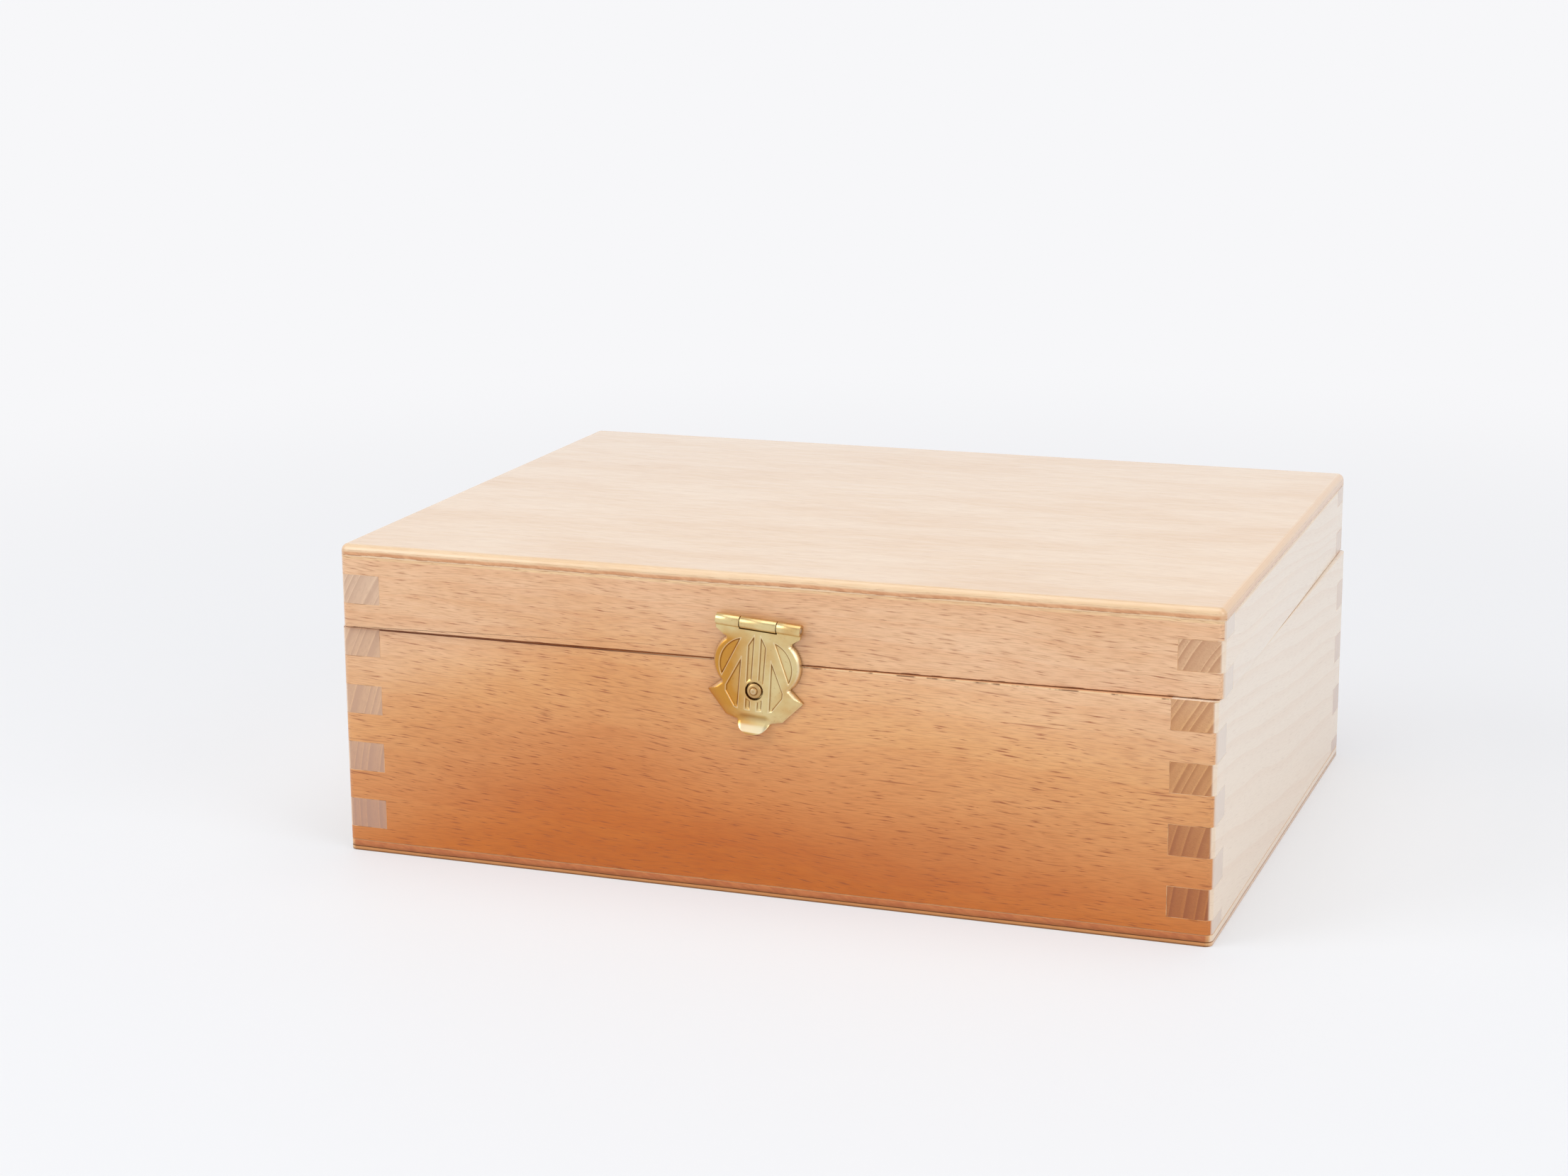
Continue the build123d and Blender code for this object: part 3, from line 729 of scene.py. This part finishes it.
def stamped(outline, holes, spacing, rise, sheet, lowest=-99.0, creases=(), joins=()):
    """A sheet cut to an outline with holes and pressed to a shape, as points, faces and marks of
    patina with painted shade and of painted highlight.

    rise(points) gives each point's height and its mark. The back follows one sheet lower, but not
    under lowest. The points lie closer along creases. The cut edges are rounded, except along
    joins, the stretches of the top edge from which a knuckle is rolled.
    """
    loops = [resampled(loop, spacing) for loop in [outline, *holes]]
    creases = [resampled(line, spacing) for line in creases]

    def solid(places):
        in_hole = [within(places, hole) for hole in loops[1:]]
        return within(places, loops[0]) & ~np.any(in_hole, axis=0)

    (left, bottom), (right, top) = outline.min(0), outline.max(0)
    row = spacing * sin(pi / 3)
    grid = np.array([
        (left + (i + 0.5 * (j % 2)) * spacing, bottom + j * row)
        for j in range(int((top - bottom) / row) + 1)
        for i in range(int((right - left) / spacing) + 1)
    ])
    for line in creases:
        grid = grid[distance(grid, line) > crease_rows[-1] + 0.4 * spacing]
    inner = [place for loop in loops for place in beside(loop, edge_rows)]
    inner += [place for line in creases for place in beside(line, crease_rows)]
    inner = np.concatenate([*inner, grid])
    _, first = np.unique(np.round(inner / closest), axis=0, return_index=True)
    inner = inner[np.sort(first)]
    edge = np.min([distance(inner, loop) for loop in loops], axis=0)
    inner = inner[solid(inner) & (edge > 0.8 * edge_rows[0])]

    points, rims = [], []
    for loop in loops:
        first, count = sum(map(len, points)), len(loop) - 1
        rims += [(first + i, first + (i + 1) % count) for i in range(count)]
        points.append(loop[:-1])
    points = [Vector(place) for place in np.concatenate([*points, inner])]
    flat, _, faces, _, _, _ = delaunay_2d_cdt(points, rims, [], 0, 1e-6)
    flat = np.array([place[:] for place in flat])
    kept = solid(flat[np.array(faces)].mean(1))
    faces = [tuple(face) for face, stays in zip(faces, kept) if stays]

    edge = np.min([distance(flat, loop) for loop in loops], axis=0)
    fall = edge_fall(edge)
    for start, end in joins:
        along = (flat[:, 0] > start) & (flat[:, 0] < end)
        fall[along & (top - flat[:, 1] < edge + 0.001)] = 0
    front, tarnish_and_painted_light = rise(flat)
    back = np.minimum(np.maximum(front - sheet, lowest), front - edge_rounding)
    front = front - fall * 0.9
    count = len(flat)
    sides = {side for a, b, c in faces for side in ((a, b), (b, c), (c, a))}
    walls = sorted(side for side in sides if side[::-1] not in sides)
    return (
        np.concatenate([np.c_[flat, front], np.c_[flat, back]]),
        faces
        + [tuple(v + count for v in reversed(face)) for face in faces]
        + [(a + count, b + count, b, a) for a, b in walls],
        np.concatenate([tarnish_and_painted_light, tarnish_and_painted_light]),
    )


def rolled(low, high, reach, barrel, bore, start, end, side=1):
    """A knuckle: a sheet between two heights, rolled round a pin that lies on the x axis.

    The sheet comes in from -reach, passes round the far side of the pin and stops short of
    itself by the seam. side is -1 where it is rolled downwards instead.
    """
    ends = []
    for x, radius in (
        (start, barrel - edge_rounding / 2), (start + edge_rounding, barrel),
        (end - edge_rounding, barrel), (end, barrel - edge_rounding / 2),
    ):
        leave = pi - asin(max(-1, low / radius))
        join = pi - asin(max(-1, min(1, high / bore)))
        stop = 3 * pi - asin(max(-1, (high + seam_width) / radius))
        outer, inner = (
            [(-reach, level)]
            + [(r * cos(a), r * sin(a)) for a in np.linspace(first, stop, roll_points)]
            for level, r, first in ((low, radius, leave), (high, bore, join))
        )
        ends.append([(x, y, side * z) for y, z in outer + inner[::-1]])
    count, half = len(ends[0]), len(ends[0]) // 2
    faces = []
    for k in range(len(ends) - 1):
        for i in range(count):
            j = (i + 1) % count
            faces.append((k * count + i, k * count + j, (k + 1) * count + j, (k + 1) * count + i))
    last = (len(ends) - 1) * count
    for i in range(half - 1):
        strip = (i, i + 1, count - 2 - i, count - 1 - i)
        faces += [strip[::-1], tuple(last + v for v in strip)]
    points = np.array(ends).reshape(-1, 3)
    return points, faces, np.zeros(len(points))


def turned(profile, steps=40):
    """A piece turned about the z axis, from (radius, height, mark) given from axis to axis; a
    mark above nought is patina with painted shade, below nought a painted highlight.
    """
    points, rings, faces, tarnish_and_painted_light = [], [], [], []
    for radius, height, *mark in profile:
        count = steps if radius else 1
        rings.append([len(points) + i for i in range(count)])
        angles = [2 * pi * i / steps for i in range(count)]
        points += [(radius * cos(a), radius * sin(a), height) for a in angles]
        tarnish_and_painted_light += count * (mark or [0.0])
    for lower, upper in zip(rings[:-1], rings[1:]):
        for i in range(steps):
            j = (i + 1) % steps
            loop = [lower[i % len(lower)], lower[j % len(lower)],
                    upper[j % len(upper)], upper[i % len(upper)]]
            faces.append(tuple(dict.fromkeys(loop)))
    return np.array(points), faces, np.array(tarnish_and_painted_light)


def nailed(profile, places, height, stand):
    """Nails in several places of a frame, as (part, frame) pairs."""
    points, faces, tarnish_and_painted_light = turned(profile)
    return [((points + np.array((*place, height)), faces, tarnish_and_painted_light), stand) for place in places]


def metal_mesh(placed):
    """One mesh of several (part, frame) pairs, outward-facing, with its marks of patina, painted
    shade and painted highlight on its points.
    """
    points, faces, tarnish_and_painted_light = [], [], []
    for (places, sides, marks), stand in placed:
        first = len(points)
        points += [(stand @ Vector(place)) * mm for place in places]
        faces += [tuple(first + v for v in face) for face in sides]
        tarnish_and_painted_light += list(marks)
    mesh = bpy.data.meshes.new("mesh")
    mesh.from_pydata(points, [], faces)
    mesh.attributes.new("tarnish_and_painted_light", "FLOAT", "POINT").data.foreach_set("value", tarnish_and_painted_light)
    shape = bmesh.new()
    shape.from_mesh(mesh)
    bmesh.ops.remove_doubles(shape, verts=shape.verts, dist=0.004 * mm)
    bmesh.ops.recalc_face_normals(shape, faces=shape.faces)
    shape.to_mesh(mesh)
    shape.free()
    return mesh


def nail_holes(nails):
    return [circle(nail_shank + hole_room, nail) for nail in nails]


def rectangle(half_width, bottom, top):
    """Its corners once round from the lower left, the last one the first again."""
    left, right = -half_width, half_width
    return np.array([(left, bottom), (right, bottom), (right, top), (left, top), (left, bottom)])


def pin(radius, start, end):
    """A pin along the z axis, with its ends broken."""
    return turned([
        (0.0, start), (radius - 0.2, start), (radius, start + 0.15),
        (radius, end - 0.15), (radius - 0.2, end), (0.0, end),
    ])


def fitting(node, how, parts, metal, body, smooth=35.0):
    """A metal piece from its (part, frame) pairs, named after its node and how it's made."""
    made(f"{node}_{how}", metal_mesh(parts), [metals[metal]], body, node, smooth)


def flat_rise(height):
    return lambda points: (np.full(len(points), height), np.zeros(len(points)))


def brass(name, bright, deep, rough, gold_side_reflection=0.0):
    """Stamped or turned brass, gone deeper in patches, dark in its creases with patina and
    painted shade, and bright where handling polished it and where a highlight is painted.

    The marks on its points run from 1 for dark to -1 for bright. The last value is how much
    deeper the colour is on the left half, partly the brass's own tone and partly a painted warm
    reflection.
    """
    nodes = Nodes(bpy.data.materials.new(name))
    place = in_mm(nodes, nodes.add("TexCoord", {}, {}, "Object"))
    x, y, z = nodes.xyz(place)
    # dark patina with painted shade, and polish with painted highlights, as marked on the points
    marked = nodes.add("Attribute", {"attribute_name": "tarnish_and_painted_light"}, {}, "Fac")
    patina_and_shade, polish_and_highlight = marked.ramp(0.0, 1.0), (0 - marked).ramp(0.0, 1.0)
    patches = nodes.noise(place, detail=3.0, scale=0.16)
    specks = nodes.noise(place, detail=4.0, scale=1.7)
    brushed = nodes.noise(nodes.vector(x * 0.35, y * 3.0, z * 7.0), detail=3.0)
    # the left half is deeper gold, partly the brass's own tone and partly a painted warm
    # reflection
    left = (1 - (x + patches * 5.0).ramp(-6.0, 5.5)) * (1 - z.ramp(*gold_reflection_fade)) * gold_side_reflection
    colour = nodes.mix(patches.ramp(0.35, 0.70) * 0.45 + left, bright, deep)
    colour = nodes.mix(specks.ramp(0.60, 0.78) * 0.30, colour, brass_brown)
    colour = nodes.mix(polish_and_highlight * 0.85, colour, polished_brass_highlight)
    colour = nodes.mix(patina_and_shade * 0.90, colour, brass_brown)
    rough_now = rough + patches * 0.10 + brushed * 0.10 + patina_and_shade * 0.15
    relief = specks * 0.5 + brushed * 0.5
    bump = nodes.add("Bump", {}, {"Strength": 0.25, "Distance": 0.00003, "Height": relief})
    return nodes.surfaced(
        {"Base Color": colour, "Metallic": 1.0, "Roughness": rough_now, "Normal": bump}
    )


# the deeper colour on the left is partly a painted warm reflection
gold_reflection_fade = (64.5, 69.0)  # heights over which the deeper colour goes out
brass_brown = tone(138, 88, 34)
# polished brass, also used for painted highlights
polished_brass_highlight = tone(246, 234, 202)
metals = {
    "hinge_brass": brass("hinge_brass", tone(222, 190, 118), tone(196, 150, 78), 0.26),
    "nail_brass": brass("nail_brass", tone(228, 198, 130), tone(200, 156, 84), 0.24),
    "steel_pin": brass("pin_steel", tone(196, 192, 184), tone(170, 164, 154), 0.22),
}

nail_point = [(0.0, -nail_length), (0.25, -nail_length + 0.6), (nail_shank, -nail_length + 1.6)]
nail_flat = nail_point + [
    (nail_shank, -hinge_gap - hinge_nail_head + nail_shank),
    (hinge_nail_head, -hinge_gap - 0.05), (hinge_nail_head - 0.08, -hinge_gap), (0.0, -hinge_gap),
]
leaf_edge = -barrel_room - hinge_barrel
leaf_outline = rectangle(hinge_length / 2, -hinge_reach, leaf_edge)
leaf_holes = nail_holes(hinge_nails)


def sunk_for_nails(points):
    """A flat leaf with a countersink round each nail."""
    height = np.full(len(points), -hinge_gap)
    for nail in hinge_nails:
        away = np.hypot(*(points - np.array(nail)).T)
        height = np.minimum(height, away - hinge_nail_head - hole_room - hinge_gap)
    return height, np.zeros(len(points))


knuckle_pitch = hinge_length / hinge_knuckles
for half, turn, own in (("base", 1, range(0, 5, 2)), ("lid", -1, range(1, 5, 2))):
    spans = []
    for knuckle in own:
        start = -hinge_length / 2 + knuckle * knuckle_pitch + knuckle_gap / 2
        spans.append((start, start + knuckle_pitch - knuckle_gap))
    leaf = stamped(
        leaf_outline, leaf_holes, hinge_spacing, sunk_for_nails, hinge_sheet, joins=spans
    )
    knuckles = [
        rolled(
            -hinge_gap - hinge_sheet, -hinge_gap, -leaf_edge, hinge_barrel, hinge_bore, *span
        )
        for span in spans
    ]
    nails = []
    for side, x in hinge_centres.items():
        stand = frame_at((x, *hinge_axis), (turn, 0, 0), (0, 0, turn))
        parts = [(part, stand) for part in (leaf, *knuckles)]
        fitting(f"{side}_hinge_{half}_leaf", "stamped", parts, "hinge_brass", half)
        nails += nailed(nail_flat, hinge_nails, 0.0, stand)
    fitting(f"hinge_{half}_nails", "turned", nails, "nail_brass", half)

for side, x in hinge_centres.items():
    stand = frame_at((x - hinge_length / 2, *hinge_axis), (0, 1, 0), (1, 0, 0))
    parts = [(pin(hinge_pin, 0.0, hinge_length), stand)]
    fitting(f"{side}_hinge_pin", "turned", parts, "steel_pin", "base")

# ---- the hasp's fixed leaf, its nails and its pin -----------------------------------------
# A small brass plate nailed to the front of the lid. Its top is rolled into the middle knuckle
# of the hasp's bar, and a steel pin runs through all three knuckles.
hasp_tilt = radians(4.4)
front_face = -box_half[1] / cos(lid_skew)
stud_height = 53.3
hasp_stand = frame_at(
    (0, front_face, stud_height),
    (cos(lid_skew) * cos(hasp_tilt), sin(lid_skew) * cos(hasp_tilt), -sin(hasp_tilt)),
    (sin(lid_skew), -cos(lid_skew), 0),
)
bar_at, bar_rise = 16.8, 1.6  # of the bar's axis, above the stud and out from the wood
bar_radius, bar_bore, bar_pin = 1.495, 0.8, 0.75
bar_half, middle_half, bar_gap = 10.9, 4.65, 0.25
leaf_sheet = 0.6
leaf_half, leaf_foot, leaf_shoulder = 6.6, 8.3, 13.6
leaf_nails = ((-4.2, 10.9), (4.2, 10.9))
nail_head, nail_rise = 1.1, 0.5

nail_domed = nail_point + [
    (nail_shank, 0.0), (nail_head - 0.05, 0.0), (nail_head, 0.08), (nail_head - 0.08, 0.22),
    (nail_head - 0.30, 0.39), (nail_head - 0.60, 0.475), (0.25, nail_rise), (0.0, nail_rise),
]
bar_stand = hasp_stand @ Matrix.Translation((0, bar_at, bar_rise))

middle = (-middle_half, middle_half)
flat = stamped(
    rectangle(leaf_half, leaf_foot, leaf_shoulder), nail_holes(leaf_nails), leaf_spacing,
    flat_rise(leaf_sheet), leaf_sheet, joins=[middle],
)
knuckle = rolled(
    -bar_rise, leaf_sheet - bar_rise, bar_at - leaf_shoulder, bar_radius, bar_bore, *middle
)
metals["hasp_brass"] = brass(
    "hasp_brass", tone(223, 202, 148), tone(202, 144, 64), 0.22, gold_side_reflection=0.95
)
parts = [(flat, hasp_stand), (knuckle, bar_stand)]
fitting("hasp_fixed_leaf", "stamped", parts, "hasp_brass", "lid")
nails = nailed(nail_domed, leaf_nails, leaf_sheet, hasp_stand)
fitting("hasp_fixed_leaf_nails", "turned", nails, "nail_brass", "lid")
along_bar = bar_stand @ Matrix.Rotation(pi / 2, 4, "Y")
parts = [(pin(bar_pin, -bar_half, bar_half), along_bar)]
fitting("hasp_pin", "turned", parts, "steel_pin", "lid")

# ---- the hasp plate -----------------------------------------------------------------------
# The swinging half of the clasp, pressed from one brass sheet: six sunk petals round a hole for
# the stud, a sloping skirt, two pointed ears and a finger lip, with the bar's outer knuckles.
plate_rise, plate_sheet, skirt_gap = 2.1, 0.6, 0.4
plate_top = 15.15
shoulder, shoulder_side, notch = (8.6, 12.43), (11.35, 6.7), (9.0, 1.3)
ear, foot = (12.5, -1.7), (7.4, -7.4)
lip_root, lip_side, lip_end = (4.3, -8.2), (2.7, -10.25), (0.0, -11.0)
neck = [(bar_half, plate_top), (bar_half, plate_top - 0.5), (9.0, 13.3)]
steep_skirt, wide_skirt = 1.2, 2.9  # how far the skirt reaches in
petal_depth, petal_wall, petal_foot = 0.34, 0.36, 0.9
valley_at, valley_rise, lip_rise = -7.6, 1.15, 2.75  # heights of the valley's bed and the lip
stud_hole, boss = 2.3, 2.95


def arc(start, via, end, steps=20):
    """Points along the round stretch from start to end by way of via."""
    (ax, ay), (bx, by), (cx, cy) = start, via, end
    double = 2 * (ax * (by - cy) + bx * (cy - ay) + cx * (ay - by))
    a, b, c = (px * px + py * py for px, py in (start, via, end))
    x = (a * (by - cy) + b * (cy - ay) + c * (ay - by)) / double
    y = (a * (cx - bx) + b * (ax - cx) + c * (bx - ax)) / double
    first = atan2(ay - y, ax - x)
    sweep, middle = ((atan2(p[1] - y, p[0] - x) - first) % (2 * pi) for p in (end, via))
    if middle > sweep:
        sweep -= 2 * pi
    radius = hypot(ax - x, ay - y)
    angles = [first + sweep * i / steps for i in range(steps + 1)]
    return [(x + radius * cos(angle), y + radius * sin(angle)) for angle in angles]


steep_edge = arc(shoulder, shoulder_side, notch) + [ear]
wide_edge = [ear, foot, lip_root]
half_outline = neck + steep_edge + [foot] + arc(lip_root, lip_side, lip_end)
mirrored = [(-x, y) for x, y in half_outline[-2::-1]]
plate_outline = np.array(half_outline + mirrored + half_outline[:1])

leaf_petal = arc((4.2, 12.95), (8.75, 9.2), (8.65, 2.8)) + [(4.2, 12.95)]
kite_petal = [(3.8, 8.3), (7.45, 0.5), (7.4, -0.9), (4.9, -4.6), (4.0, -4.9), (3.8, 8.3)]
lancet_petal = [(0.75, 14.2), (2.4, 11.3), (2.2, -4.9), (0.8, -5.1), (0.75, 14.2)]
petals = [
    np.array([(side * x, y) for x, y in petal])
    for petal in (leaf_petal, kite_petal, lancet_petal) for side in (-1, 1)
]


def smooth(values, low, high):
    share = np.clip((values - low) / (high - low), 0, 1)
    return share * share * (3 - 2 * share)


def skirt(points, half_edge, reach, roundness):
    """Height share of a skirt that falls to both mirrored edges, full from reach inwards."""
    edges = [np.array([(side * x, y) for x, y in half_edge]) for side in (-1, 1)]
    share = np.clip(np.min([distance(points, edge) for edge in edges], axis=0) / reach, 0, 1)
    return (1 - (1 - share) ** roundness) ** (1 / roundness)


def pressed(points):
    """The plate's height and its marks: patina with painted shade at the petals' walls and in the
    valley above the lip, a dark edge to the lip, and painted highlights on the skirt, the petals'
    edges and the lip.
    """
    x, y = points.T
    share = np.minimum(
        skirt(points, steep_edge, steep_skirt, 1.8), skirt(points, wide_edge, wide_skirt, 1.25)
    )
    foot_rise = skirt_gap + edge_rounding
    height = foot_rise + (plate_rise - foot_rise) * share
    # painted highlights on the steep skirt and along the outer edge of the wide skirt
    steep = smooth(skirt(points, wide_edge, wide_skirt, 1.25) - share, 0.0, 0.1)
    tarnish_and_painted_light = -0.55 * (1 - smooth(share, 0.75, 0.98)) * steep
    tarnish_and_painted_light -= 0.7 * (1 - smooth(share, 0.04, 0.22)) * (1 - steep)
    round_hole = smooth(np.hypot(x, y), boss - 0.25, boss + 0.15)
    for petal in petals:
        depth = np.where(within(points, petal), 1, -1) * distance(points, petal)
        above_foot = smooth(y - petal[:, 1].min(), 0.0, petal_foot)
        sunk = np.minimum(smooth(depth, 0.0, petal_wall), above_foot) * round_hole
        height -= petal_depth * sunk
        # patina with painted shade at the foot of each petal's wall, and a highlight along its
        # edge, partly polish and partly painted
        line = np.exp(-(((depth - 0.24) / 0.12) ** 2)) * above_foot * round_hole
        polish_and_highlight = np.exp(-(((depth + 0.02) / 0.12) ** 2)) * round_hole
        tarnish_and_painted_light += line * 0.95 - polish_and_highlight * 0.6
    beyond = smooth(valley_at - y, 0.0, valley_at - lip_end[1])
    lip = valley_rise + (lip_rise - valley_rise) * beyond
    lip += (plate_rise - valley_rise) * smooth(y - valley_at, 0.2, 2.4)
    in_lip = (1 - smooth(abs(x), 2.8, 4.9)) * (1 - smooth(y, valley_at + 2.2, valley_at + 2.6))
    height += (lip - height) * in_lip
    # a painted highlight on the lip's belly, a dark edge at its end, and painted shade in the
    # valley above it
    tarnish_and_painted_light = tarnish_and_painted_light * (1 - in_lip) - 0.7 * in_lip * smooth(beyond, 0.05, 0.5)
    tarnish_and_painted_light += 1.1 * in_lip * smooth(beyond, 0.90, 1.0)
    tarnish_and_painted_light += 0.45 * in_lip * np.exp(-(((y - valley_at - 0.7) / 0.9) ** 2))
    return height, tarnish_and_painted_light


plate_joins = [(-bar_half, -middle_half - bar_gap), (middle_half + bar_gap, bar_half)]
plate = stamped(
    plate_outline, [circle(stud_hole)], plate_spacing, pressed, plate_sheet,
    lowest=skirt_gap, creases=petals, joins=plate_joins,
)
knuckles = [
    rolled(
        bar_rise - plate_rise, bar_rise - plate_rise + plate_sheet, bar_at - plate_top,
        bar_radius, bar_bore, *span, side=-1,
    )
    for span in plate_joins
]
parts = [(plate, hasp_stand)] + [(knuckle, bar_stand) for knuckle in knuckles]
fitting("hasp_plate", "pressed", parts, "hasp_brass", "hasp")

# ---- the keeper, its stud and its nails ---------------------------------------------------
# A flat brass plate nailed to the front of the base under the hasp, with a turned stud riveted
# through it that the hasp's hole snaps over.
keeper_stand = frame_at(
    (0, -box_half[1], stud_height), (cos(hasp_tilt), 0, -sin(hasp_tilt)), (0, -1, 0)
)
keeper_sheet, keeper_half, keeper_top, keeper_foot, keeper_corner = 0.6, 5.8, 5.2, -5.4, 1.0
corner_points = 8  # round each of its corners
keeper_nails = ((-3.9, -2.9), (3.9, -2.9))
stud_neck, stud_head = 1.4, 1.9
# the third value of a point marks patina with painted shade where above nought, and a painted
# highlight on the stud's top where below
stud_profile = [
    (0.0, 0.0), (stud_neck, 0.0), (stud_neck, 1.45), (1.62, 1.62), (stud_head, 1.72, 0.8),
    (stud_head, 1.84, 0.4), (1.84, 1.98, 0.2), (1.66, 2.12, 0.0), (1.40, 2.22, 0.0),
    (1.12, 2.27, 0.4), (0.96, 2.29, 0.9), (0.90, 2.42, 0.5), (0.84, 2.58, 0.2),
    (0.70, 2.68, -0.3), (0.45, 2.70, -0.4), (0.0, 2.70, 0.0),
]

corners = (
    (keeper_half, keeper_top, 0), (-keeper_half, keeper_top, 1),
    (-keeper_half, keeper_foot, 2), (keeper_half, keeper_foot, 3),
)
outline = []
for x, y, quarter in corners:
    middle_x, middle_y = x - keeper_corner * np.sign(x), y - keeper_corner * np.sign(y)
    for a in np.linspace(quarter * pi / 2, (quarter + 1) * pi / 2, corner_points):
        outline.append((middle_x + keeper_corner * cos(a), middle_y + keeper_corner * sin(a)))
outline = np.array(outline + outline[:1])
holes = nail_holes(keeper_nails) + [circle(stud_neck)]
plate = stamped(outline, holes, leaf_spacing, flat_rise(keeper_sheet), keeper_sheet)
fitting("keeper_plate", "stamped", [(plate, keeper_stand)], "hasp_brass", "base")
metals["stud_brass"] = brass("stud_brass", tone(206, 172, 118), tone(168, 122, 72), 0.28)
stud = turned(stud_profile)
fitting("keeper_stud", "turned", [(stud, keeper_stand)], "stud_brass", "base", smooth=50.0)
nails = nailed(nail_domed, keeper_nails, keeper_sheet, keeper_stand)
fitting("keeper_nails", "turned", nails, "nail_brass", "base")
